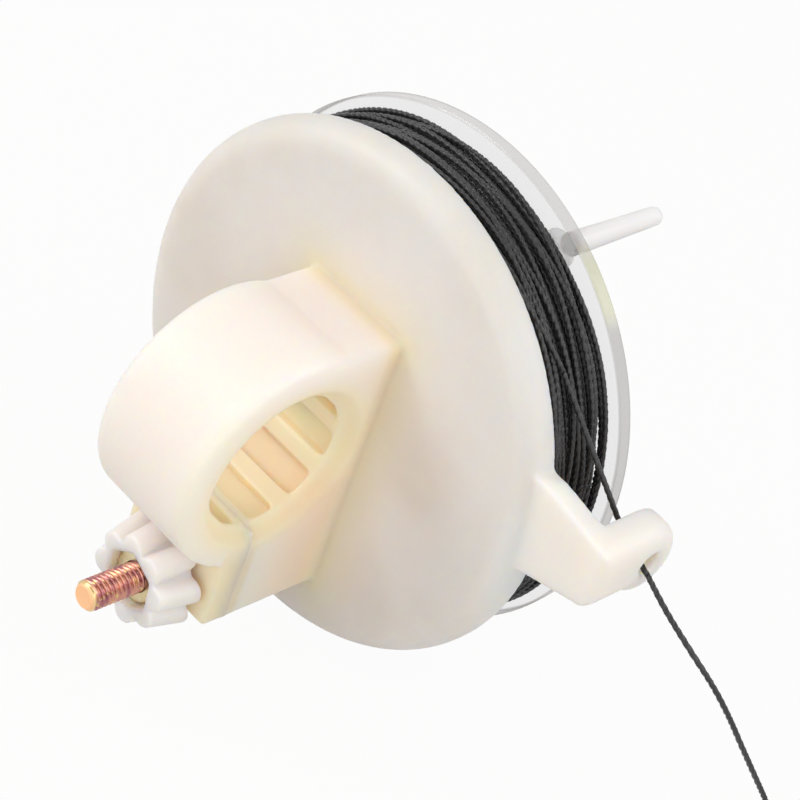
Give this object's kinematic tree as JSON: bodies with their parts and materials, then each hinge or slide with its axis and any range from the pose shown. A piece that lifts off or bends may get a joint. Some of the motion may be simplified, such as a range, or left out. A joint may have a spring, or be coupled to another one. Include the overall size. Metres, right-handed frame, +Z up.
{
  "type": "clamp-on line reel",
  "caption": "Line reel that clamps on a round tube: dished side plate with split clamp and line guide, free-running spool of dark line with a clear flange and crank peg, screw drag.",
  "frame": {"origin": "where the spool axis meets the axis of the clamped tube", "axes": "+X along the tube toward the line guide, +Y along the spool axis toward the crank peg, +Z up with the clamp screw below the tube"},
  "size_m": [0.1955, 0.0982, 0.1],
  "materials": {
    "nylon": "natural nylon, moulded, slightly translucent",
    "white_nylon": "white translucent nylon",
    "clear": "clear, polished",
    "yellow_zinc": "yellow zinc plated",
    "steel": "bright, turned",
    "fibre": "red-brown fibre",
    "line": "twisted dark line"
  },
  "bodies": {
    "frame": {"side_plate": "nylon", "clamp_bolt": "yellow_zinc", "axle_bolt": "steel", "axle_sleeve": "steel", "thrust_washer": "white_nylon", "line_lead": "line", "line_tail": "line", "line_knot": "line"},
    "spool": {"spool_drum": "white_nylon", "clear_flange": "clear", "flange_screws": "steel", "crank_peg": "white_nylon", "line_core": "line", "line_winding": "line"},
    "clamp_pressure": {"clamp_washer": "steel"},
    "clamp_screw": {"clamp_knob": "nylon", "clamp_nut": "yellow_zinc"},
    "drag_pressure": {"drag_washer": "fibre", "drag_plate": "steel", "drag_spring": "steel"},
    "drag_screw": {"drag_knob": "nylon", "drag_nut": "steel"}
  },
  "joints": [
    {"name": "spool_spin", "type": "hinge", "parent": "frame", "child": "spool", "pos_m": [0, 0.035, 0], "axis": [0, 1, 0], "continuous": true},
    {"name": "clamp_feed", "type": "slide", "parent": "frame", "child": "clamp_pressure", "axis": [0, 1, 0], "range_m": [-0.004, 0]},
    {"name": "clamp_turn", "type": "hinge", "parent": "clamp_pressure", "child": "clamp_screw", "pos_m": [0.001, -0.012, -0.0303], "axis": [0, 1, 0], "range_deg": [-1440, 0]},
    {"name": "drag_feed", "type": "slide", "parent": "frame", "child": "drag_pressure", "axis": [0, 1, 0], "range_m": [0, 0.002]},
    {"name": "drag_turn", "type": "hinge", "parent": "drag_pressure", "child": "drag_screw", "pos_m": [0, 0.055, 0], "axis": [0, 1, 0], "range_deg": [0, 720]}
  ],
  "couplings": [
    {"joint": "clamp_turn", "follows": "clamp_feed", "rad_per_m": 6283.2},
    {"joint": "drag_turn", "follows": "drag_feed", "rad_per_m": 6283.2}
  ]
}
